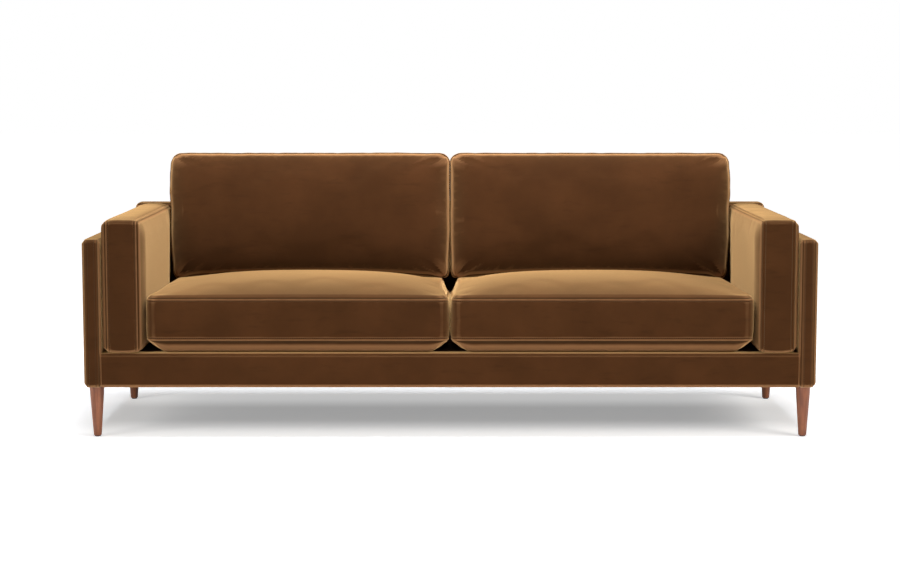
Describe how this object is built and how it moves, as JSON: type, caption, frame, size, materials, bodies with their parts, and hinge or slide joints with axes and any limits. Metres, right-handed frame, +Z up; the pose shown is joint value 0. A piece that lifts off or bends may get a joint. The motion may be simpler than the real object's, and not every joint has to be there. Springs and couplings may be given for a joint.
{
  "type": "sofa",
  "caption": "Tuxedo sofa with slab arms, a padded front rail, loose arm, seat and back cushions in velvet, and round tapered wooden legs.",
  "frame": {"origin": "centre of the bounding box on the floor plane", "axes": "+X to the viewer's right along the width, the front faces -Y, +Z up"},
  "size_m": [2.18, 0.79, 0.826],
  "materials": {
    "velvet": "matte",
    "walnut": "satin",
    "frame_wood": "matte",
    "fibreboard": "matte",
    "foam": "matte",
    "deck_cloth": "matte",
    "dust_cloth": "matte",
    "webbing": "matte",
    "zip_tape": "matte",
    "spring_steel": "satin",
    "clip_steel": "satin",
    "bolt_steel": "satin",
    "insert_brass": "satin",
    "glide_plastic": "matte"
  },
  "bodies": {
    "sofa_frame": {"arm_low_rail_left": "frame_wood", "arm_low_rail_right": "frame_wood", "arm_top_rail_left": "frame_wood", "arm_top_rail_right": "frame_wood", "arm_posts_left": "frame_wood", "arm_posts_right": "frame_wood", "arm_boards_left": "fibreboard", "arm_boards_right": "fibreboard", "arm_cover_left": "velvet", "arm_cover_right": "velvet", "front_rail": "frame_wood", "rear_rail": "frame_wood", "side_rail_left": "frame_wood", "side_rail_right": "frame_wood", "seat_stretchers": "frame_wood", "corner_blocks": "frame_wood", "front_rail_cover": "velvet", "seat_springs": "spring_steel", "spring_clips_front": "clip_steel", "spring_clips_rear": "clip_steel", "spring_tie_wires": "clip_steel", "seat_deck": "deck_cloth", "dust_cover": "dust_cloth", "back_posts": "frame_wood", "back_top_rail": "frame_wood", "back_webbing": "webbing", "back_foam_slab": "foam", "back_cover": "velvet", "outside_back": "velvet", "leg_front_left": "walnut", "leg_front_right": "walnut", "leg_rear_left": "walnut", "leg_rear_right": "walnut", "hanger_bolts": "bolt_steel", "insert_nuts": "insert_brass", "leg_glides": "glide_plastic", "frame_bolts": "bolt_steel"},
    "seat_cushion_left": {"seat_cushion_cover_left": "velvet", "seat_cushion_core_left": "foam", "seat_cushion_zip_left": "zip_tape"},
    "seat_cushion_right": {"seat_cushion_cover_right": "velvet", "seat_cushion_core_right": "foam", "seat_cushion_zip_right": "zip_tape"},
    "back_cushion_left": {"back_cushion_cover_left": "velvet", "back_cushion_core_left": "foam", "back_cushion_zip_left": "zip_tape"},
    "back_cushion_right": {"back_cushion_cover_right": "velvet", "back_cushion_core_right": "foam", "back_cushion_zip_right": "zip_tape"},
    "arm_cushion_left": {"arm_cushion_cover_left": "velvet", "arm_cushion_core_left": "foam", "arm_cushion_zip_left": "zip_tape"},
    "arm_cushion_right": {"arm_cushion_cover_right": "velvet", "arm_cushion_core_right": "foam", "arm_cushion_zip_right": "zip_tape"}
  },
  "joints": [
    {"name": "seat_cushion_left_out", "type": "slide", "parent": "sofa_frame", "child": "seat_cushion_left", "axis": [0, -1, 0], "range_m": [0, 0.66]},
    {"name": "seat_cushion_right_out", "type": "slide", "parent": "sofa_frame", "child": "seat_cushion_right", "axis": [0, -1, 0], "range_m": [0, 0.66]},
    {"name": "back_cushion_left_lift", "type": "slide", "parent": "sofa_frame", "child": "back_cushion_left", "axis": [0, 0, 1], "range_m": [0, 0.3]},
    {"name": "back_cushion_right_lift", "type": "slide", "parent": "sofa_frame", "child": "back_cushion_right", "axis": [0, 0, 1], "range_m": [0, 0.3]},
    {"name": "arm_cushion_left_lift", "type": "slide", "parent": "sofa_frame", "child": "arm_cushion_left", "axis": [0, 0, 1], "range_m": [0, 0.42]},
    {"name": "arm_cushion_right_lift", "type": "slide", "parent": "sofa_frame", "child": "arm_cushion_right", "axis": [0, 0, 1], "range_m": [0, 0.42]}
  ]
}
